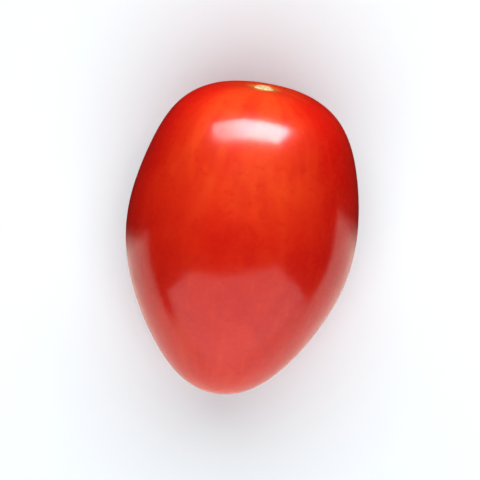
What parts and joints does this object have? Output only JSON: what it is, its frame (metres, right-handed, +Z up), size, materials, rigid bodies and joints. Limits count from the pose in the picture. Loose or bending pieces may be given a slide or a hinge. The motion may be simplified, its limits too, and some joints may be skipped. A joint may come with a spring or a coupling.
{
  "type": "mini plum tomato",
  "caption": "Ripe red mini plum tomato, egg-shaped and picked without its calyx, lying on its side on a small flat spot, with a corky stem scar at the broad end.",
  "frame": {"origin": "on the surface the tomato rests on, under the middle of its bounding box", "axes": "+Z up, +Y along the fruit towards the stem end, +X across it"},
  "size_m": [0.0266, 0.0366, 0.0263],
  "materials": {
    "skin": "smooth waxy fruit skin, glossy"
  },
  "bodies": {
    "root": {"tomato": "skin"}
  },
  "joints": []
}
